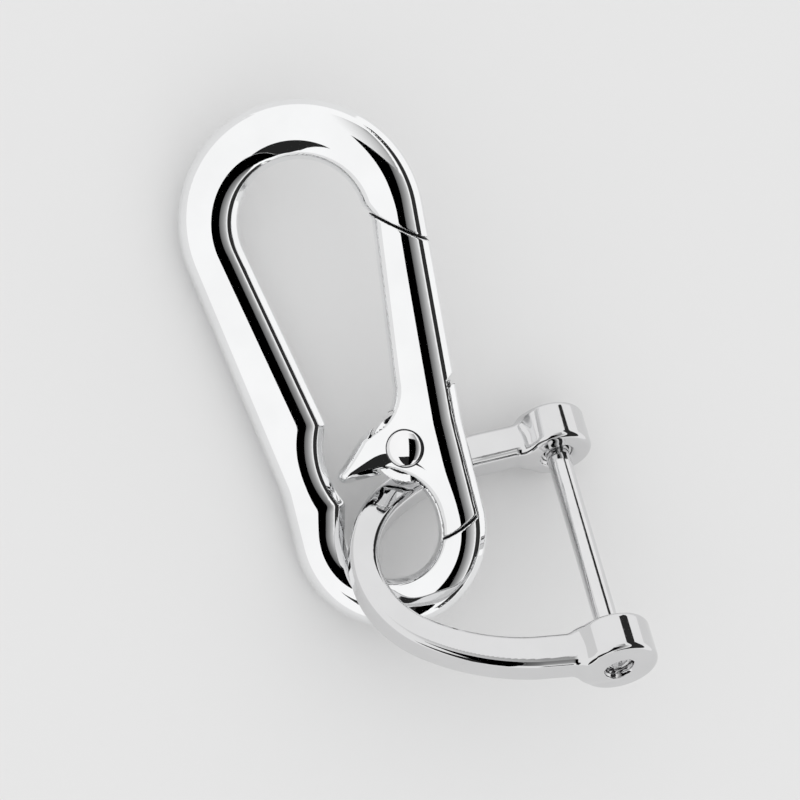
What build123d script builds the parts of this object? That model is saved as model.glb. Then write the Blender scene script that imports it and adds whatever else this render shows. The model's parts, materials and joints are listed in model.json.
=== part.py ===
"""Spring-gate snap hook with a screw-pin bow shackle linked through its lower eye, in millimetres.

The floor is Z = 0, +Y runs up the hook from its eye to its nose and +Z is up. The hook rests on the
left side of its ring and is propped up on its right by the shackle, which passes under the gate.
"""

import os
from math import cos, radians, sin

from build123d import *

os.makedirs("parts", exist_ok=True)

# Where the two linked halves lie: a point and the turns about X, Y and Z for each.
HOOK_AT = (-3.636, -4.782, 10.852)
HOOK_TIP = (2.2, -30, 0)
SHACKLE_AT = (13.962, -23.155, 13.103)
SHACKLE_TIP = (-30, -0.9, -11.05)

# Hook: a ring of die-cast bar, cut twice to free the gate. Its own origin is the gate's rivet.
BAR = 4.9
BELT = 2.0
BEVEL_ANGLE = 30
FINGER_TIP = (-9.7, -1.7)
FINGER_SWEEP_R = 10.75
FINGER_GAP = 0.5
CUT_GAP = 0.25
NOSE_CUT_SLOPE = 1.35
GATE_END_R = 12.15
GATE_END_FROM = 262
GATE_END_TO = 320

# Gate: a fork over the hook's tongue, turning on a rivet and closed by a torsion spring.
TONGUE = 2.7
TONGUE_R = 4.4
TONGUE_BORE_R = 1.55
FORK = 2.9
FORK_R = 4.9
FORK_FROM = 228
FORK_TO = 402
TONGUE_TOP = 38
REACH = 16
RIVET_R = 1.5
RIVET_HEAD_R = 2.47
RIVET_HEAD_RISE = 0.95
RIVET_HEAD_ANGLE = 20
SPRING_WIRE = 0.4
SPRING_COIL_R = 2.35
SPRING_PITCH = 0.46
SPRING_START = 336
SPRING_TURNS = 2.1
SPRING_LOW_LEG = 4.3
SPRING_TOP_LEG = 5.2
SPRING_HOLE_R = 0.25
SPRING_POCKET_R = 3.3
SPRING_POCKET_DEPTH = 1.8
SPRING_LIFT = 0.45

# Shackle: its own origin is the middle of the pin, +X runs from the bow's crown to the pin.
BOW = 4.2
BOW_EDGE = 1.0
EAR_GAP_TOP = 13.45
EAR_GAP_LOW = 13.1
EAR_LENGTH = 5.35
EAR_TOP_R = 4.5
EAR_LOW_R = 4.95
EAR_EDGE = 0.5
PIN_R = 1.5
PIN_SEAT_R = 1.55
PIN_SEAT_DEPTH = 4.3
PIN_SEAT_MOUTH_R = 1.95
PIN_SEAT_MOUTH_DEPTH = 0.5
PIN_END_GAP = 0.1
THREAD_R = 1.72
THREAD_BORE_R = 1.75
PIN_RECESS = 0.8
SOCKET_FLATS = 1.9
SOCKET_DEPTH = 2.2

hook_plane = Plane(HOOK_AT).rotated(HOOK_TIP)
shackle_plane = Plane(SHACKLE_AT).rotated(SHACKLE_TIP)


def on_circle(radius, angle):
    """The point at an angle, in degrees, of a circle about the rivet."""
    return (radius * cos(radians(angle)), radius * sin(radians(angle)))


def along_pin(height):
    """The plane across the pin at a height from the pin's middle towards the top ear."""
    origin = shackle_plane.from_local_coords((0, height, 0))
    return Plane(origin=origin, x_dir=shackle_plane.x_dir, z_dir=shackle_plane.y_dir)


# The closed ring seen from above: its main loop, the room round the finger and the eye are one hole.
with BuildSketch() as ring_outline:
    with BuildLine():
        Line((-17.2, -1.5), (-20.5, 28.6))
        ThreePointArc((-20.5, 28.6), (-4.95, 46.15), (10.6, 28.8))
        Line((10.6, 28.8), (7.5, 1.5))
        Line((7.5, 1.5), (7.0, -9.5))
        ThreePointArc((7.0, -9.5), (-5.3, -21.7), (-17.55, -9.0))
        Line((-17.55, -9.0), (-17.2, -1.5))
    make_face()
    with BuildLine():
        ThreePointArc((-12.91, 29.31), (-4.95, 38.55), (3.1, 30.5))
        Line((3.1, 30.5), (3.86, 28.75))
        Line((3.86, 28.75), (0.35, 8.2))
        ThreePointArc((0.35, 8.2), (-0.75, 5.35), (-2.5, 3.9))
        Line((-2.5, 3.9), (-5.4, 2.8))
        Line((-5.4, 2.8), (-9.1, -0.5))
        ThreePointArc((-9.1, -0.5), FINGER_TIP, (-8.8, -2.4))
        Line((-8.8, -2.4), (-3.6, -2.5))
        ThreePointArc((-3.6, -2.5), (-0.35, -4.9), (0.85, -9.55))
        ThreePointArc((0.85, -9.55), (-5.2, -15.6), (-10.95, -8.6))
        Line((-10.95, -8.6), on_circle(FINGER_SWEEP_R, 205.3))
        ThreePointArc(
            on_circle(FINGER_SWEEP_R, 205.3),
            on_circle(FINGER_SWEEP_R, 180),
            on_circle(FINGER_SWEEP_R, 149.5),
        )
        Line(on_circle(FINGER_SWEEP_R, 149.5), (-12.91, 29.31))
    make_face(mode=Mode.SUBTRACT)

# The bar is widest at its belt and bevelled to a narrower crown on both faces.
with BuildPart() as ring:
    with BuildSketch(hook_plane):
        add(ring_outline.sketch)
    extrude(amount=BELT / 2, both=True)
    for side in (1, -1):
        with BuildSketch(hook_plane.offset(side * BELT / 2)):
            add(ring_outline.sketch)
        extrude(amount=side * (BAR - BELT) / 2, taper=BEVEL_ANGLE)

# What the gate takes of the ring: the finger, the eye's right side down to the end cut, and the arm
# up to the slanted nose cut. The hook's share stays a cut's gap away from it.
gate_zones = {}
for owner, gap in (("gate", 0), ("hook", CUT_GAP)):
    with BuildSketch() as zone:
        Circle(FINGER_SWEEP_R - FINGER_GAP + gap)
        with BuildLine():
            end_left = on_circle(GATE_END_R + gap, GATE_END_FROM)
            end_right = on_circle(GATE_END_R + gap, GATE_END_TO)
            end_middle = on_circle(GATE_END_R + gap, (GATE_END_FROM + GATE_END_TO) / 2)
            Polyline((-1.5, 0), end_left)
            ThreePointArc(end_left, end_middle, end_right)
            nose_outer = (14, 20.6 + NOSE_CUT_SLOPE * gap)
            nose_inner = (2.6, 30.4 + NOSE_CUT_SLOPE * gap)
            Polyline(end_right, (14, 0), nose_outer, nose_inner, (-1.5, 20), (-1.5, 0))
        make_face()
    gate_zones[owner] = zone.sketch

# The tongue is the hook's middle layer inside the gate's fork.
with BuildSketch() as tongue_outline:
    add(ring_outline.sketch)
    with BuildLine():
        Polyline((0, 0), on_circle(REACH, TONGUE_TOP), (14, -16), (0, -16), (-1.2, -5), (0, 0))
    make_face(mode=Mode.INTERSECT)
    Circle(TONGUE_R)

with BuildPart() as hook_body:
    add(ring.part)
    with BuildSketch(hook_plane):
        add(gate_zones["hook"])
    extrude(amount=BAR, both=True, mode=Mode.SUBTRACT)
    with BuildSketch(hook_plane):
        add(tongue_outline.sketch)
    extrude(amount=TONGUE / 2, both=True)
    with BuildSketch(hook_plane):
        Circle(TONGUE_BORE_R)
    extrude(amount=BAR, both=True, mode=Mode.SUBTRACT)
    # The spring's pocket, with room above and below for its two legs.
    with BuildSketch(hook_plane.offset(TONGUE / 2)):
        Circle(SPRING_POCKET_R)
        with BuildLine():
            Polyline((0, 0), on_circle(7, 50), on_circle(7, 115), (0, 0))
        make_face()
        with BuildLine():
            Polyline((0, 0), on_circle(5.6, GATE_END_FROM), on_circle(5.6, GATE_END_TO), (0, 0))
        make_face()
    extrude(amount=-SPRING_POCKET_DEPTH, mode=Mode.SUBTRACT)
hook_body.part.label = "hook_body"
export_step(hook_body.part, "parts/hook_body.step")

# The spring's coil lies in the tongue's pocket round the rivet. Its low leg pushes on the pocket and
# its top leg sits in a hole in the gate.
coil_plane = hook_plane.offset(TONGUE / 2 - SPRING_POCKET_DEPTH + SPRING_LIFT)
with BuildLine() as spring_wire:
    coil = Helix(SPRING_PITCH, SPRING_PITCH * SPRING_TURNS, SPRING_COIL_R)
    Line(coil @ 0 - (coil % 0) * SPRING_LOW_LEG, coil @ 0)
    Line(coil @ 1, coil @ 1 + (coil % 1) * SPRING_TOP_LEG)
wire_path = coil_plane.location * spring_wire.line.rotate(Axis.Z, SPRING_START)
with BuildPart() as gate_spring:
    with BuildSketch(Plane(origin=wire_path @ 0, z_dir=wire_path % 0)):
        Circle(SPRING_WIRE / 2)
    sweep(path=wire_path)
gate_spring.part.label = "gate_spring"
export_step(gate_spring.part, "parts/gate_spring.step")

with BuildPart() as gate:
    add(ring.part)
    with BuildSketch(hook_plane):
        add(gate_zones["gate"])
    extrude(amount=BAR, both=True, mode=Mode.INTERSECT)
    with BuildSketch(hook_plane):
        Circle(FORK_R)
        with BuildLine():
            fork_low = on_circle(REACH, FORK_FROM)
            fork_top = on_circle(REACH, FORK_TO)
            Line((0, 0), fork_low)
            ThreePointArc(fork_low, on_circle(REACH, (FORK_FROM + FORK_TO) / 2), fork_top)
            Line(fork_top, (0, 0))
        make_face()
    extrude(amount=FORK / 2, both=True, mode=Mode.SUBTRACT)
    with BuildSketch(hook_plane):
        Circle(RIVET_R)
    extrude(amount=BAR, both=True, mode=Mode.SUBTRACT)
    with BuildSketch(Plane(origin=wire_path @ 1 + (wire_path % 1) * SPRING_HOLE_R, z_dir=wire_path % 1)):
        Circle(SPRING_HOLE_R)
    extrude(amount=-SPRING_TOP_LEG / 2, mode=Mode.SUBTRACT)
gate.part.label = "gate"
export_step(gate.part, "parts/gate.step")

with BuildPart() as gate_rivet:
    with BuildSketch(hook_plane):
        Circle(RIVET_R)
    extrude(amount=BAR / 2, both=True)
    for side in (1, -1):
        with BuildSketch(hook_plane.offset(side * BAR / 2)):
            Circle(RIVET_HEAD_R)
        extrude(amount=side * RIVET_HEAD_RISE, taper=RIVET_HEAD_ANGLE)
gate_rivet.part.label = "gate_rivet"
export_step(gate_rivet.part, "parts/gate_rivet.step")

# The bow is a flat bar bent to a U whose arms open slightly towards the ears.
with BuildSketch() as bow_outline:
    with BuildLine():
        crown = ThreePointArc((-24, -12), (-30.1, 0), (-24, 12))
        TangentArc((-24, 12), (-10, 17.5), tangent=crown % 1)
        Line((-10, 17.5), (0, 18.3))
        Line((0, 18.3), (0, 13.9))
        Line((0, 13.9), (-10, 12.9))
        inner = ThreePointArc((-22, -8.4), (-26.4, 0), (-22, 8.4))
        TangentArc((-22, 8.4), (-10, 12.9), tangent=inner % 1)
        TangentArc((-22, -8.4), (-10, -12.9), tangent=-(inner % 0))
        Line((-10, -12.9), (0, -13.6))
        Line((0, -13.6), (0, -18.3))
        Line((0, -18.3), (-10, -17.5))
        TangentArc((-24, -12), (-10, -17.5), tangent=-(crown % 0))
    make_face()

with BuildPart() as shackle_bow:
    with BuildSketch(shackle_plane):
        add(bow_outline.sketch)
    extrude(amount=BOW / 2, both=True)
    faces = shackle_bow.faces().filter_by(Plane(shackle_plane.origin, z_dir=shackle_plane.z_dir))
    fillet(faces.edges(), BOW_EDGE)
    for side, gap, radius in ((1, EAR_GAP_TOP, EAR_TOP_R), (-1, EAR_GAP_LOW, EAR_LOW_R)):
        with BuildSketch(along_pin(side * gap)):
            Circle(radius)
        extrude(amount=side * EAR_LENGTH)
        pin_axis = Axis(shackle_plane.origin, shackle_plane.y_dir * side)
        fillet(shackle_bow.faces().sort_by(pin_axis)[-1].edges(), EAR_EDGE)
    with BuildSketch(along_pin(EAR_GAP_TOP)):
        Circle(PIN_SEAT_MOUTH_R)
    extrude(amount=PIN_SEAT_MOUTH_DEPTH, mode=Mode.SUBTRACT)
    with BuildSketch(along_pin(EAR_GAP_TOP)):
        Circle(PIN_SEAT_R)
    extrude(amount=PIN_SEAT_DEPTH, mode=Mode.SUBTRACT)
    with BuildSketch(along_pin(-EAR_GAP_LOW)):
        Circle(THREAD_BORE_R)
    extrude(amount=-EAR_LENGTH, mode=Mode.SUBTRACT)
shackle_bow.part.label = "shackle_bow"
export_step(shackle_bow.part, "parts/shackle_bow.step")

# The pin screws in from the low ear, and its plain end stops just short of the seat's bottom.
pin_top = EAR_GAP_TOP + PIN_SEAT_DEPTH - PIN_END_GAP
with BuildPart() as shackle_pin:
    with BuildSketch(along_pin(pin_top)):
        Circle(PIN_R)
    extrude(amount=-(pin_top + EAR_GAP_LOW))
    with BuildSketch(along_pin(-EAR_GAP_LOW)):
        Circle(THREAD_R)
    extrude(amount=-(EAR_LENGTH - PIN_RECESS))
    with BuildSketch(along_pin(-EAR_GAP_LOW - EAR_LENGTH + PIN_RECESS)):
        RegularPolygon(SOCKET_FLATS / 2, 6, major_radius=False)
    extrude(amount=SOCKET_DEPTH, mode=Mode.SUBTRACT)
shackle_pin.part.label = "shackle_pin"
export_step(shackle_pin.part, "parts/shackle_pin.step")
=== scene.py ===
"""Looks of a spring-gate snap hook and its bow shackle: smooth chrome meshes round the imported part."""

import json
from math import atan2, cos, pi, radians, sin, tan

import bpy
import numpy as np
from mathutils import Matrix, Vector


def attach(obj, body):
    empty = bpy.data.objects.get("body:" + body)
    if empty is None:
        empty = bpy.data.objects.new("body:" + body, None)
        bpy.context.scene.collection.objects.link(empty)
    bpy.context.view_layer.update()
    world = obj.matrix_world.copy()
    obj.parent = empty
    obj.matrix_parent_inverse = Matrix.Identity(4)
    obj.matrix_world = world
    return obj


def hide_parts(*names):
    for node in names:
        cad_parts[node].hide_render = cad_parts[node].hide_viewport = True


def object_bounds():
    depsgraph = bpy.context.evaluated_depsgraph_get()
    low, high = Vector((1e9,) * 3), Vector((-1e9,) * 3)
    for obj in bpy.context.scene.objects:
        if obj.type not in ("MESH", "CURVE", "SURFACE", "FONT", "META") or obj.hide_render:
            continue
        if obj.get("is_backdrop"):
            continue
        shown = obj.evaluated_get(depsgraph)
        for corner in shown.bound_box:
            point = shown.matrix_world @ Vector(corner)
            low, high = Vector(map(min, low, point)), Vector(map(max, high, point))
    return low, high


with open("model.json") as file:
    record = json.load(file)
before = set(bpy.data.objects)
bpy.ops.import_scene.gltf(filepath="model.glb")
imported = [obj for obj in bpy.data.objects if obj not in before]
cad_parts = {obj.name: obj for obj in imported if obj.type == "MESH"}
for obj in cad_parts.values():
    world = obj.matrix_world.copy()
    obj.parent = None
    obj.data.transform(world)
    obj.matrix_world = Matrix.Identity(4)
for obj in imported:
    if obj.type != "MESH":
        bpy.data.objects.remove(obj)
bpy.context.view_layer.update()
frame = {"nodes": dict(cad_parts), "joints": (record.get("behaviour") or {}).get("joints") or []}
joints = {joint["name"]: joint for joint in frame["joints"]}
MM = 0.001
MESH_STEP = 0.2  # the grid that the castings are meshed on, in millimetres
AROUND = 96  # points round a turned piece

# The turns of the hook and of the shackle about X, Y and Z, as in the CAD source.
HOOK_TIP = (2.2, -30, 0)
SHACKLE_TIP = (-30, -0.9, -11.05)


def turned(tip):
    """The matrix that turns about X, then the new Y, then the new Z."""
    a, b, c = (radians(v) for v in tip)
    about_x = np.array([[1, 0, 0], [0, cos(a), -sin(a)], [0, sin(a), cos(a)]])
    about_y = np.array([[cos(b), 0, sin(b)], [0, 1, 0], [-sin(b), 0, cos(b)]])
    about_z = np.array([[cos(c), -sin(c), 0], [sin(c), cos(c), 0], [0, 0, 1]])
    return about_x @ about_y @ about_z


hook_turn, hook_at = turned(HOOK_TIP), np.array(joints["gate_hinge"]["pos_m"]) / MM
shackle_turn, shackle_at = turned(SHACKLE_TIP), np.array(joints["pin_slide"]["pos_m"]) / MM


# ---- shapes as signed distances, in millimetres, negative inside ----
def arc(start, middle, end):
    """An arc through three points: (centre, radius, start angle, signed sweep)."""
    (ax, ay), (bx, by), (cx, cy) = start, middle, end
    d = 2 * (ax * (by - cy) + bx * (cy - ay) + cx * (ay - by))
    aa, bb, cc = ax * ax + ay * ay, bx * bx + by * by, cx * cx + cy * cy
    ux = (aa * (by - cy) + bb * (cy - ay) + cc * (ay - by)) / d
    uy = (aa * (cx - bx) + bb * (ax - cx) + cc * (bx - ax)) / d
    t0, t1, t2 = (atan2(y - uy, x - ux) for x, y in (start, middle, end))
    sweep = (t2 - t0) % (2 * pi)
    if (t1 - t0) % (2 * pi) > sweep:
        sweep -= 2 * pi
    return (ux, uy), ((ax - ux) ** 2 + (ay - uy) ** 2) ** 0.5, t0, sweep


def tangent_arc_middle(start, end, direction):
    """The middle point of the arc that leaves start along direction and reaches end."""
    start, end, direction = np.array(start, float), np.array(end, float), np.array(direction, float)
    direction /= np.linalg.norm(direction)
    chord = end - start
    normal = np.array([-direction[1], direction[0]])
    across = chord @ normal
    radius = chord @ chord / (2 * across)
    centre = start + normal * radius
    half = (start + end) / 2 - centre
    return tuple(centre + half / np.linalg.norm(half) * abs(radius))


def outline(*steps):
    """A closed outline as points: each step is a corner, or ("arc", middle, end)."""
    arc_spacing, line_spacing = 0.12, 1.0
    points = [np.array(steps[0], float)]
    for step in steps[1:]:
        start = points[-1]
        if step[0] == "arc":
            centre, radius, begin, sweep = arc(tuple(start), step[1], step[2])
            count = max(4, int(abs(sweep) * radius / arc_spacing))
            angles = begin + sweep * np.arange(1, count + 1) / count
            ring = np.array(centre) + radius * np.stack([np.cos(angles), np.sin(angles)], 1)
            points.extend(ring)
        else:
            count = max(1, int(np.hypot(*(np.array(step) - start)) / line_spacing))
            for k in range(1, count + 1):
                points.append(start + (np.array(step, float) - start) * k / count)
    return np.array(points)


def distance_to(loops, points):
    """The signed distance of 2-D points to closed loops, even-odd, negative inside."""
    best = np.full(len(points), 1e9)
    odd = np.zeros(len(points), bool)
    x, y = points[:, 0], points[:, 1]
    for loop in loops:
        for a, b in zip(loop, np.roll(loop, -1, 0)):
            side = b - a
            length = side @ side
            if length < 1e-12:
                continue
            t = np.clip(((x - a[0]) * side[0] + (y - a[1]) * side[1]) / length, 0, 1)
            gap = (x - a[0] - t * side[0]) ** 2 + (y - a[1] - t * side[1]) ** 2
            np.minimum(best, gap, out=best)
            if a[1] != b[1]:
                crossing = (a[1] > y) != (b[1] > y)
                odd ^= crossing & (x < a[0] + (y - a[1]) * side[0] / side[1])
    return np.where(odd, -1, 1) * np.sqrt(best)


class Plan:
    """A smoothed map of the distance to an outline, for quick reading at any point."""

    def __init__(self, loops, low, high, step=0.1, blur=3):
        self.low, self.step = np.array(low, float), step
        self.shape = tuple(int((h - l) / step) + 1 for l, h in zip(low, high))
        axes = [low[i] + step * np.arange(self.shape[i]) for i in (0, 1)]
        grid = np.stack(np.meshgrid(*axes, indexing="ij"), -1).reshape(-1, 2)
        field = distance_to(loops, grid).reshape(self.shape)
        if blur:
            margin = 3 * blur
            span = np.arange(-margin, margin + 1)
            kernel = np.exp(-0.5 * (span / blur) ** 2)
            kernel /= kernel.sum()
            for axis in (0, 1):
                pad = [(margin, margin) if i == axis else (0, 0) for i in (0, 1)]
                wide = np.pad(field, pad, mode="edge")
                length = field.shape[axis]
                parts = [np.take(wide, range(k, k + length), axis) * share for k, share in enumerate(kernel)]
                field = np.sum(parts, 0)
        self.field = field

    def __call__(self, x, y):
        u = np.clip((x - self.low[0]) / self.step, 0, self.shape[0] - 1.001)
        v = np.clip((y - self.low[1]) / self.step, 0, self.shape[1] - 1.001)
        i, j = u.astype(int), v.astype(int)
        u, v = u - i, v - j
        f = self.field
        low = f[i, j] * (1 - v) + f[i, j + 1] * v
        high = f[i + 1, j] * (1 - v) + f[i + 1, j + 1] * v
        return low * (1 - u) + high * u


def both(a, b, round_by=0.0):
    """Where a and b overlap, with the edge between them rounded."""
    if not round_by:
        return np.maximum(a, b)
    h = np.clip(0.5 - 0.5 * (b - a) / round_by, 0, 1)
    return b + (a - b) * h + round_by * h * (1 - h)


def either(a, b, round_by=0.0):
    """Where a or b is, with the corner between them filled."""
    return -both(-a, -b, round_by)


def round_bar(x, y, z, radius, low, high, round_by):
    """A cylinder along the third axis from low to high."""
    return both(np.hypot(x, y) - radius, np.abs(z - (low + high) / 2) - (high - low) / 2, round_by)


def surface(shape, low, high, step=MESH_STEP):
    """Vertices and quads of the zero surface of shape, pulled onto it, by surface nets."""
    low, high = np.array(low, float), np.array(high, float)
    counts = np.ceil((high - low) / step).astype(int) + 1
    axes = [low[i] + step * np.arange(counts[i]) for i in range(3)]
    values = np.empty(counts, np.float32)
    flat = np.stack(np.meshgrid(axes[0], axes[1], indexing="ij"), -1).reshape(-1, 2)
    for k, z in enumerate(axes[2]):
        values[:, :, k] = shape(flat[:, 0], flat[:, 1], np.full(len(flat), z)).reshape(counts[:2])
    inside = values < 0
    corners = [inside[i : counts[0] - 1 + i, j : counts[1] - 1 + j, k : counts[2] - 1 + k]
               for i in (0, 1) for j in (0, 1) for k in (0, 1)]
    total = np.sum(corners, 0)
    mixed = (total > 0) & (total < 8)
    index = np.full(mixed.shape, -1)
    cells = np.argwhere(mixed)
    index[mixed] = np.arange(len(cells))
    sums, hits = np.zeros((len(cells), 3)), np.zeros(len(cells))
    for axis in range(3):
        others = [a for a in range(3) if a != axis]
        for p in (0, 1):
            for q in (0, 1):
                start = np.zeros(3, int)
                start[others[0]], start[others[1]] = p, q
                end = start.copy()
                end[axis] = 1
                a = values[tuple((cells + start).T)]
                b = values[tuple((cells + end).T)]
                cross = (a < 0) != (b < 0)
                t = np.where(cross, a / np.where(cross, a - b, 1), 0)
                point = start + np.outer(t, end - start)
                sums[cross] += point[cross]
                hits += cross
    vertices = low + step * (cells + sums / hits[:, None])
    quads = []
    for axis in range(3):
        u, v = [a for a in range(3) if a != axis]
        one = [slice(None)] * 3
        two = [slice(None)] * 3
        one[axis], two[axis] = slice(0, -1), slice(1, None)
        a, b = inside[tuple(one)], inside[tuple(two)]
        edges = np.argwhere(a != b)
        edges = edges[(edges[:, u] > 0) & (edges[:, v] > 0)]
        edges = edges[(edges[:, u] < counts[u] - 1) & (edges[:, v] < counts[v] - 1)]
        leaving = a[tuple(edges.T)]
        ring = []
        for du, dv in ((1, 1), (0, 1), (0, 0), (1, 0)):
            cell = edges.copy()
            cell[:, u] -= du
            cell[:, v] -= dv
            ring.append(index[tuple(cell.T)])
        ring = np.stack(ring, 1)
        flip = leaving if axis != 1 else ~leaving
        ring[~flip] = ring[~flip][:, ::-1]
        quads.append(ring)
    quads = np.concatenate(quads)

    def read(points):
        return shape(points[:, 0], points[:, 1], points[:, 2])

    def slope(points, reach=0.02):
        out = np.empty_like(points)
        for axis in range(3):
            shift = np.zeros(3)
            shift[axis] = reach
            out[:, axis] = (read(points + shift) - read(points - shift)) / (2 * reach)
        return out

    start = vertices.copy()
    for _ in range(4):
        down = slope(vertices)
        size = np.maximum((down**2).sum(1), 0.05)
        move = -down * (read(vertices) / size)[:, None]
        vertices = vertices + np.clip(move, -0.5 * step, 0.5 * step)
    vertices = start + np.clip(vertices - start, -step, step)
    normals = slope(vertices, 0.05)
    normals /= np.maximum(np.linalg.norm(normals, axis=1), 1e-9)[:, None]
    return vertices, quads, normals


def piece(name, body, material, vertices, faces, normals, turn, at, replaced, painted_shade_faces=None):
    """A mesh in the part's frame from points in a local frame, riding on a body in place of a CAD node.
    The marked faces, inside the cuts and at the rivet's foot, get a near-black chrome: painted shade."""
    mesh = bpy.data.meshes.new(name)
    mesh.from_pydata((np.asarray(vertices) @ turn.T + at) * MM, [], [list(map(int, f)) for f in faces])
    mesh.shade_smooth()
    if normals is not None:
        mesh.normals_split_custom_set_from_vertices((np.asarray(normals) @ turn.T).tolist())
    mesh.materials.append(material)
    if painted_shade_faces is not None:
        mesh.materials.append(painted_gap_shade)
        mesh.polygons.foreach_set("material_index", painted_shade_faces.astype(np.int32))
    thing = bpy.data.objects.new(name, mesh)
    bpy.context.scene.collection.objects.link(thing)
    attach(thing, body)
    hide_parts(replaced)
    return thing


def lathe(profile):
    """Vertices and faces of a (radius, height) profile turned about the third axis, closed at its ends."""
    angles = 2 * pi * np.arange(AROUND) / AROUND
    vertices, faces = [], []
    for radius, height in profile:
        vertices += [(radius * cos(a), radius * sin(a), height) for a in angles]
    for k in range(len(profile) - 1):
        here, above = k * AROUND, (k + 1) * AROUND
        for i in range(AROUND):
            j = (i + 1) % AROUND
            faces.append((here + i, here + j, above + j, above + i))
    for k, order in ((0, -1), (len(profile) - 1, 1)):
        vertices.append((0, 0, profile[k][1]))
        centre = len(vertices) - 1
        for i in range(AROUND):
            a, b = k * AROUND + i, k * AROUND + (i + 1) % AROUND
            faces.append((centre, a, b) if order > 0 else (centre, b, a))
    return np.array(vertices), faces


# ---- materials ----
def chrome(name, tint, rough, wear, scale):
    """Plated metal: a clean mirror with faint clouding, a slight waviness and fine handling marks."""
    material = bpy.data.materials.new(name)
    material.use_nodes = True
    nodes, links = material.node_tree.nodes, material.node_tree.links
    shader = nodes["Principled BSDF"]
    shader.inputs["Metallic"].default_value = 1.0
    place = nodes.new("ShaderNodeTexCoord")

    def noise(size, detail):
        node = nodes.new("ShaderNodeTexNoise")
        node.inputs["Scale"].default_value = size
        node.inputs["Detail"].default_value = detail
        links.new(place.outputs["Object"], node.inputs["Vector"])
        return node

    def remap(source, low, high, out_low, out_high):
        node = nodes.new("ShaderNodeMapRange")
        limits = {"From Min": low, "From Max": high, "To Min": out_low, "To Max": out_high}
        for key, value in limits.items():
            node.inputs[key].default_value = value
        links.new(source, node.inputs["Value"])
        return node.outputs["Result"]

    cloud_shade, marks_per_cloud = 0.96, 9
    clouds = noise(scale, 4.0)
    marks = noise(scale * marks_per_cloud, 8.0)
    ramp = nodes.new("ShaderNodeValToRGB")
    ramp.color_ramp.elements[0].position = 0.3
    ramp.color_ramp.elements[0].color = (*[c * cloud_shade for c in tint], 1)
    ramp.color_ramp.elements[1].position = 0.65
    ramp.color_ramp.elements[1].color = (*tint, 1)
    links.new(clouds.outputs["Fac"], ramp.inputs["Fac"])
    links.new(ramp.outputs["Color"], shader.inputs["Base Color"])
    links.new(remap(marks.outputs["Fac"], 0.45, 0.75, rough, rough + wear), shader.inputs["Roughness"])
    bump = nodes.new("ShaderNodeBump")
    bump.inputs["Strength"].default_value = 0.03
    bump.inputs["Distance"].default_value = 0.00004
    links.new(clouds.outputs["Fac"], bump.inputs["Height"])
    links.new(bump.outputs["Normal"], shader.inputs["Normal"])
    return material


casting = chrome("chrome_casting", (0.93, 0.935, 0.94), 0.025, 0.05, 160)
# A near-black chrome, painted shade for the dark gaps: the faces inside the cuts and the ring at the rivet's
# foot.
painted_gap_shade = chrome("painted_gap_shade", (0.05, 0.05, 0.055), 0.5, 0.2, 300)
bow_plate = chrome("chrome_bow", (0.73, 0.73, 0.735), 0.035, 0.06, 190)
rivet_plate = chrome("chrome_rivet", (0.92, 0.92, 0.925), 0.03, 0.06, 260)
pin_plate = chrome("chrome_pin", (0.78, 0.78, 0.785), 0.06, 0.1, 300)
spring_wire = chrome("spring_steel", (0.78, 0.78, 0.79), 0.25, 0.15, 400)

# ---- the hook's ring, its gate and the cuts between them ----
BELT_HALF = 0.3  # half the height of the upright belt at the parting line
WALL_ANGLE = radians(30)  # the walls' lean from upright, above the belt
CROWN_EDGE, CROWN_RISE = 1.55, 0.9  # the domed face's height at the walls, and how much it rises
CROWN_EDGE_AT, CROWN_REACH = 0.75, 3.0  # where the rise starts from the outline, and over how much
SWEEP_R = 10.75  # what the finger sweeps about the rivet
SWEEP_GAP, PART_GAP = 0.5, 0.25  # air beside the finger's sweep, and between the two castings
TONGUE_HALF, SLOT_HALF = 1.35, 1.45  # half thickness of the tongue and half width of its slot
TONGUE_R, SLOT_R = 4.4, 4.9
TONGUE_TOP = 6
HOOK_BORE_R, GATE_BORE_R = 1.55, 1.5
EDGE_ROUND, PART_ROUND, SLOT_ROUND, BORE_ROUND = 0.3, 0.22, 0.1, 0.05
POCKET_R, POCKET_HALF, POCKET_FLOOR = 3.3, 1.5, 0.45
POCKET_LOW_LEG, POCKET_TOP_LEG = 5.6, 7


def at_angle(radius, angle):
    """A point of a circle about the rivet."""
    return (radius * cos(radians(angle)), radius * sin(radians(angle)))


ring_outer = outline(
    (-17.2, -1.5), (-20.5, 28.6), ("arc", (-4.95, 46.15), (10.6, 28.8)), (7.5, 1.5), (7.0, -9.5),
    ("arc", (-5.3, -21.7), (-17.55, -9.0)), (-17.2, -1.5),
)
ring_hole = outline(
    (-12.91, 29.31), ("arc", (-4.95, 38.55), (3.1, 30.5)), (3.86, 28.75), (0.35, 8.2),
    ("arc", (-0.75, 5.35), (-2.5, 3.9)), (-5.4, 2.8), (-9.1, -0.5), ("arc", (-9.7, -1.7), (-8.8, -2.4)),
    (-3.6, -2.5), ("arc", (-0.35, -4.9), (0.85, -9.55)), ("arc", (-5.2, -15.6), (-10.95, -8.6)),
    at_angle(SWEEP_R, 205.3), ("arc", at_angle(SWEEP_R, 180), at_angle(SWEEP_R, 149.5)), (-12.91, 29.31),
)
gate_area = outline(
    (-1.5, 0), at_angle(12.15, 262), ("arc", at_angle(12.15, 291), at_angle(12.15, 320)), (14, 0),
    (14, 20.6), (2.6, 30.4), (-1.5, 20), (-1.5, 0),
)
RING_BOX = ((-22.5, -23.5), (12.5, 48))
ring_plan = Plan([ring_outer, ring_hole], *RING_BOX)
gate_plan = Plan([gate_area], *RING_BOX, step=0.15, blur=0)


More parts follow.
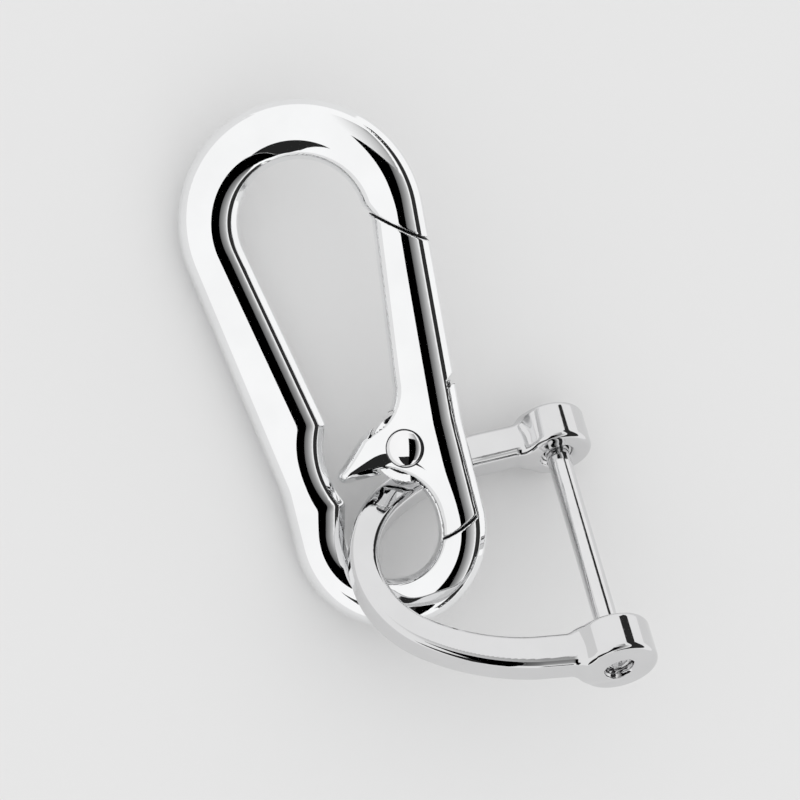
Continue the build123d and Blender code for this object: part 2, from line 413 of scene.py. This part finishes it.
def bar(x, y, z):
    """The ring's crowned bar: drafted walls from the parting line up to a domed face on both sides."""
    depth = -ring_plan(x, y)
    up = np.abs(z)
    wall = (both(up - BELT_HALF, 0 * up, EDGE_ROUND) * tan(WALL_ANGLE) - depth) * cos(WALL_ANGLE)
    inward = np.clip((depth - CROWN_EDGE_AT) / CROWN_REACH, 0, 1)
    crown = up - CROWN_EDGE - CROWN_RISE * (1 - (1 - inward) ** 2)
    return both(wall, crown, EDGE_ROUND)


def gate_share(x, y):
    """The gate's share of the ring: the finger's disc and the arm with its eye side."""
    return np.minimum(np.hypot(x, y) - SWEEP_R + SWEEP_GAP, gate_plan(x, y))


def sector(x, y, begin, end):
    """Distance to a wedge about the rivet of under half a turn."""
    (ax, ay), (bx, by) = at_angle(1, begin), at_angle(1, end)
    return np.maximum(ay * x - ax * y, bx * y - by * x)


def hook_shape(x, y, z):
    """The hook's fixed half, with the tongue that the gate's fork straddles and the spring's pocket."""
    up, out = np.abs(z), np.hypot(x, y)
    body = both(bar(x, y, z), PART_GAP - gate_share(x, y), PART_ROUND)
    left_edge = np.maximum(-(x + 1.2) + 0.109 * -(y + 5), -sector(x, y, 38, 200))
    web = np.maximum(np.maximum(bar(x, y, z), left_edge), y - TONGUE_TOP)
    web = np.minimum(web, out - TONGUE_R)
    body = np.minimum(body, both(web, up - TONGUE_HALF, SLOT_ROUND))
    pocket = np.minimum(out - POCKET_R, np.maximum(sector(x, y, 262, 320), out - POCKET_LOW_LEG))
    pocket = np.minimum(pocket, np.maximum(sector(x, y, 50, 115), out - POCKET_TOP_LEG))
    pocket = np.maximum(np.maximum(pocket, -POCKET_FLOOR - z), up - POCKET_HALF)
    body = both(body, -pocket, BORE_ROUND)
    return both(body, HOOK_BORE_R - out, BORE_ROUND)


def gate_shape(x, y, z):
    """The gate: arm, finger and eye side in one, slotted for the tongue and bored for the rivet."""
    up, out = np.abs(z), np.hypot(x, y)
    body = both(bar(x, y, z), gate_share(x, y), PART_ROUND)
    slot = np.maximum(np.minimum(sector(x, y, 228, 402), out - SLOT_R), up - SLOT_HALF)
    return both(both(body, -slot, SLOT_ROUND), GATE_BORE_R - out, BORE_ROUND)


def hook_cut(share):
    """The fixed casting's faces that look onto the gate, which get painted shade."""
    return share < 0.3


def gate_cut(share):
    """The gate's faces that look onto the fixed casting, which get painted shade."""
    return share > -0.05


CUT_DEPTH = 0.12  # a face in a cut lies at least this far under the bar's own surface
for name, body, shape, faces_cut, low, high in (
    ("hook_body", "hook", hook_shape, hook_cut, (-22, -23, -2.9), (12, 47.5, 2.9)),
    ("gate", "gate", gate_shape, gate_cut, (-12, -13.5, -2.9), (11.5, 31.5, 2.9)),
):
    points, faces, normals = surface(shape, low, high)
    x, y, z = points[faces].mean(1).T
    # The faces deep in the cuts between the castings take the near-black chrome: painted shade.
    cut = faces_cut(gate_share(x, y)) & (bar(x, y, z) < -CUT_DEPTH)
    piece(name + "_skin", body, casting, points, faces, normals, hook_turn, hook_at,
          name, cut)

# ---- the rivet: a straight shank with a low dome on each side ----
HEAD_R, HEAD_UNDER, SHANK_R, SHANK_HALF = 2.47, 1.98, 1.5, 1.9
DOME_FROM, DOME_RISE, DOME_FOOT_TOP = 2.3, 1.02, 2.72
dome = [(HEAD_R * cos(t), DOME_FROM + DOME_RISE * sin(t)) for t in np.linspace(0, pi / 2 - 0.06, 24)]
shank = [(HEAD_R, -HEAD_UNDER), (SHANK_R, -SHANK_HALF), (SHANK_R, SHANK_HALF), (HEAD_R, HEAD_UNDER)]
points, faces = lathe([(r, -h) for r, h in reversed(dome)] + shank + dome)
# The ring at the foot of each dome takes the near-black chrome: a painted shadow gap.
height = np.array([np.abs(points[list(face), 2]).mean() for face in faces])
foot = np.array([len(face) == 4 for face in faces]) & (height > DOME_FROM) & (height < DOME_FOOT_TOP)
piece("rivet_skin", "gate", rivet_plate, points, faces, None, hook_turn, hook_at,
      "gate_rivet", foot)

# ---- the shackle's bow: a flat bar with a faint ridge, bent to a U, with a round ear on each arm ----
ARM_HALF = 2.1
RIDGE_RISE, RIDGE_REACH = 0.15, 2.2
ARM_ROUND, EAR_ROUND, EAR_JOIN, HOLE_ROUND = 0.9, 0.7, 1.3, 0.12
EAR_TOP, EAR_LOW = (4.5, 13.45, 18.8), (4.95, -18.45, -13.1)  # radius, from, to
SEAT_R, SEAT_END, MOUTH_R, MOUTH_AT = 1.55, 17.75, 1.98, 13.75
THREAD_HOLE_R, THREAD_MOUTH_AT, MOUTH_FLARE = 1.75, 18.15, 0.3
outer_arc = arc((-24, -12), (-30.1, 0), (-24, 12))
inner_arc = arc((-22, -8.4), (-26.4, 0), (-22, 8.4))


def leaving(centre, x, y):
    """The way an arc about centre runs at a point above it, towards the ears."""
    return (y - centre[1], centre[0] - x)


outer_way, inner_way = leaving(outer_arc[0], -24, 12), leaving(inner_arc[0], -22, 8.4)
outer_top = tangent_arc_middle((-24, 12), (-10, 17.5), outer_way)
outer_low = tangent_arc_middle((-24, -12), (-10, -17.5), (outer_way[0], -outer_way[1]))
inner_top = tangent_arc_middle((-22, 8.4), (-10, 12.9), inner_way)
inner_low = tangent_arc_middle((-22, -8.4), (-10, -12.9), (inner_way[0], -inner_way[1]))
bow_outline = outline(
    (-24, -12), ("arc", (-30.1, 0), (-24, 12)), ("arc", outer_top, (-10, 17.5)), (0, 18.3), (0, 13.9),
    (-10, 12.9), ("arc", inner_top, (-22, 8.4)), ("arc", (-26.4, 0), (-22, -8.4)),
    ("arc", inner_low, (-10, -12.9)), (0, -13.6), (0, -18.3), (-10, -17.5),
    ("arc", outer_low, (-24, -12)),
)
bow_plan = Plan([bow_outline], (-32.5, -21), (7, 21))


def bow_shape(x, y, z):
    """The bow with both ears, the pin's blind seat in the top ear and its threaded hole in the low one."""
    depth, up = -bow_plan(x, y), np.abs(z)
    face = up - ARM_HALF + RIDGE_RISE * (1 - np.clip(depth / RIDGE_REACH, 0, 1)) ** 1.5
    arms = np.maximum(both(-depth, face, ARM_ROUND), x - 1)
    ears = np.minimum(round_bar(x, z, y, *EAR_TOP, EAR_ROUND), round_bar(x, z, y, *EAR_LOW, EAR_ROUND))
    body = either(arms, ears, EAR_JOIN)
    across = np.hypot(x, z)
    top_seat = np.maximum(across - SEAT_R, y - SEAT_END)
    mouth = across - MOUTH_R - np.clip(MOUTH_AT - y, 0, MOUTH_FLARE) + np.clip(y - 13.95, 0, 9) * 3
    low_hole = across - THREAD_HOLE_R - np.clip(-THREAD_MOUTH_AT - y, 0, MOUTH_FLARE)
    holes = np.where(y > 0, np.minimum(np.maximum(top_seat, -y), mouth), low_hole)
    return both(body, -holes, HOLE_ROUND)


points, faces, normals = surface(bow_shape, (-31, -19.2, -5.6), (6, 19.4, 5.6))
piece("bow_skin", "shackle", bow_plate, points, faces, normals, shackle_turn, shackle_at,
      "shackle_bow")

# ---- the pin: plain shank, thread in the low ear and a hexagon socket in its end ----
PIN_R, THREAD_R, END_R = 1.5, 1.71, 1.2
PIN_HALF, THREAD_TOP, PITCH, RIDGES = 17.64, -13.15, 0.5, 8
HEX_HALF_FLAT, SOCKET_FLOOR = 0.95, -15.5
angles = 2 * pi * np.arange(AROUND) / AROUND
hexagon = HEX_HALF_FLAT / np.cos((angles + pi / 6) % (pi / 3) - pi / 6)
rows = [(0.01, PIN_HALF), (END_R, PIN_HALF), (PIN_R, 17.34)]
rows += [(PIN_R, h) for h in np.linspace(17, -12.9, 40)] + [(PIN_R, -13.05)]
for k in range(RIDGES):
    top = THREAD_TOP - k * PITCH
    rows += [(THREAD_R, top - 0.18), (THREAD_R, top - 0.26), (PIN_R, top - 0.44)]
rows += [(THREAD_R, -17.3), (THREAD_R, -17.5), (1.6, -PIN_HALF), (END_R, -PIN_HALF)]
points = [(r * cos(a), r * sin(a), h) for r, h in rows for a in angles]
for grow, h in ((1.06, -PIN_HALF), (1.0, -17.54), (1.0, SOCKET_FLOOR), (0.4, -15.1), (0.02, -15.0)):
    points += [(r * grow * cos(a), r * grow * sin(a), h) for r, a in zip(hexagon, angles)]
levels = len(points) // AROUND
faces = []
for k in range(levels - 1):
    here, above = k * AROUND, (k + 1) * AROUND
    for i in range(AROUND):
        j = (i + 1) % AROUND
        faces.append((above + i, above + j, here + j, here + i))
faces.append(tuple(range(AROUND)))
faces.append(tuple(range(levels * AROUND - 1, (levels - 1) * AROUND - 1, -1)))
points = np.array(points)
points = np.stack([points[:, 1], points[:, 2], points[:, 0]], 1)
piece("pin_skin", "pin", pin_plate, points, faces, None, shackle_turn, shackle_at,
      "shackle_pin")

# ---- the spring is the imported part's own coil, with its wire's finish ----
spring = frame["nodes"]["gate_spring"]
spring.data.materials.clear()
spring.data.materials.append(spring_wire)
spring.data.shade_smooth()

# ---- camera: a long lens almost straight above, leaning a little to the left ----
VIEW_FROM = (-0.3254, 0.0166, 0.9454)
VIEW_UP = (0.2868, 0.9545, 0.082)
VIEW_WIDTH = 0.1
CAMERA_FAR = 1.0
SENSOR = 36
LOOK_RIGHT, LOOK_UP = -1.03 * MM, 5.79 * MM  # from the rivet to the middle of the view
toward = Vector(VIEW_FROM).normalized()
view_right = Vector(VIEW_UP).cross(toward).normalized()
view_up = toward.cross(view_right)
target = Vector(hook_at * MM) + view_right * LOOK_RIGHT + view_up * LOOK_UP
camera = bpy.data.objects.new("camera", bpy.data.cameras.new("camera"))
bpy.context.scene.collection.objects.link(camera)
camera.data.sensor_width = SENSOR
camera.data.lens = SENSOR * CAMERA_FAR / VIEW_WIDTH
camera.data.clip_end = 10
matrix = np.eye(4)
matrix[:3, :3] = np.stack([np.array(view_right), np.array(view_up), np.array(toward)], 1)
matrix[:3, 3] = target + toward * CAMERA_FAR
camera.matrix_world = Matrix(matrix.tolist())
bpy.context.scene.camera = camera
bpy.context.scene.view_settings.view_transform = "Standard"

# ---- a white room, a pale floor and the far dark cards that the chrome mirrors ----
ROOM_STRENGTH = 1.0
FLOOR_HALF = 1.5
CARD_CELLS = 24
world = bpy.data.worlds.new("room")
bpy.context.scene.world = world
world.use_nodes = True
world.node_tree.nodes["Background"].inputs["Color"].default_value = (1, 1, 1, 1)
world.node_tree.nodes["Background"].inputs["Strength"].default_value = ROOM_STRENGTH

floor_material = bpy.data.materials.new("floor")
floor_material.use_nodes = True
floor_shader = floor_material.node_tree.nodes["Principled BSDF"]
floor_shader.inputs["Base Color"].default_value = (0.8, 0.8, 0.8, 1)
floor_shader.inputs["Roughness"].default_value = 0.9
floor_shader.inputs["Specular IOR Level"].default_value = 0.0
floor_mesh = bpy.data.meshes.new("floor")
floor_corners = [(x * FLOOR_HALF, y * FLOOR_HALF, 0) for x, y in ((-1, -1), (1, -1), (1, 1), (-1, 1))]
floor_mesh.from_pydata(floor_corners, [], [(0, 1, 2, 3)])
floor_mesh.materials.append(floor_material)
floor = bpy.data.objects.new("floor", floor_mesh)
bpy.context.scene.collection.objects.link(floor)
floor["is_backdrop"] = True


def shade_of(name, shade):
    """A plain glow of one grey."""
    material = bpy.data.materials.new(name)
    material.use_nodes = True
    nodes = material.node_tree.nodes
    glow = nodes.new("ShaderNodeEmission")
    glow.inputs["Color"].default_value = (shade, shade, shade, 1)
    material.node_tree.links.new(glow.outputs["Emission"], nodes["Material Output"].inputs["Surface"])
    return material


def card(name, across, along, far, shades):
    """A curved card far off, seen only in reflections. Its sides are angles from the viewing line, to the
    right and up, in degrees, and its shades run from left to right."""
    points = []
    for lift in np.radians(np.linspace(*along, CARD_CELLS + 1)):
        for a in np.radians(np.linspace(*across, CARD_CELLS + 1)):
            way = (view_right * sin(a) + toward * cos(a)) * cos(lift) + view_up * sin(lift)
            points.append(target + way * far)
    row = CARD_CELLS + 1
    corners = [j * row + i for j in range(CARD_CELLS) for i in range(CARD_CELLS)]
    mesh = bpy.data.meshes.new(name)
    mesh.from_pydata(points, [], [(k, k + 1, k + row + 1, k + row) for k in corners])
    for i in range(CARD_CELLS):
        share = (i + 0.5) / CARD_CELLS * (len(shades) - 1)
        k = min(int(share), len(shades) - 2)
        shade = shades[k] + (shades[k + 1] - shades[k]) * (share - k)
        mesh.materials.append(shade_of(f"{name}_{i}", shade))
    for index, face in enumerate(mesh.polygons):
        face.material_index = index % CARD_CELLS
    thing = bpy.data.objects.new(name, mesh)
    bpy.context.scene.collection.objects.link(thing)
    thing.visible_camera = thing.visible_diffuse = thing.visible_shadow = False
    thing.visible_transmission = thing.visible_volume_scatter = False
    thing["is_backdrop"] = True


# The black band, the grey that fades beside it and above it, and the dark below and to the side.
card("card_over", (-6, 16), (-75, 18), 0.4, (0.0, 0.0))
card("card_fade", (16, 42), (-50, 18), 0.41, (0.12, 0.3, 0.6, 1.0))
card("card_above", (-6, 30), (18, 49), 0.42, (1.0, 0.65, 0.3))
card("card_below", (-38, -6), (-75, -32), 0.43, (0.02, 0.02))
card("card_side", (46, 80), (-70, 60), 0.44, (0.03, 0.03))

low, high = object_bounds()
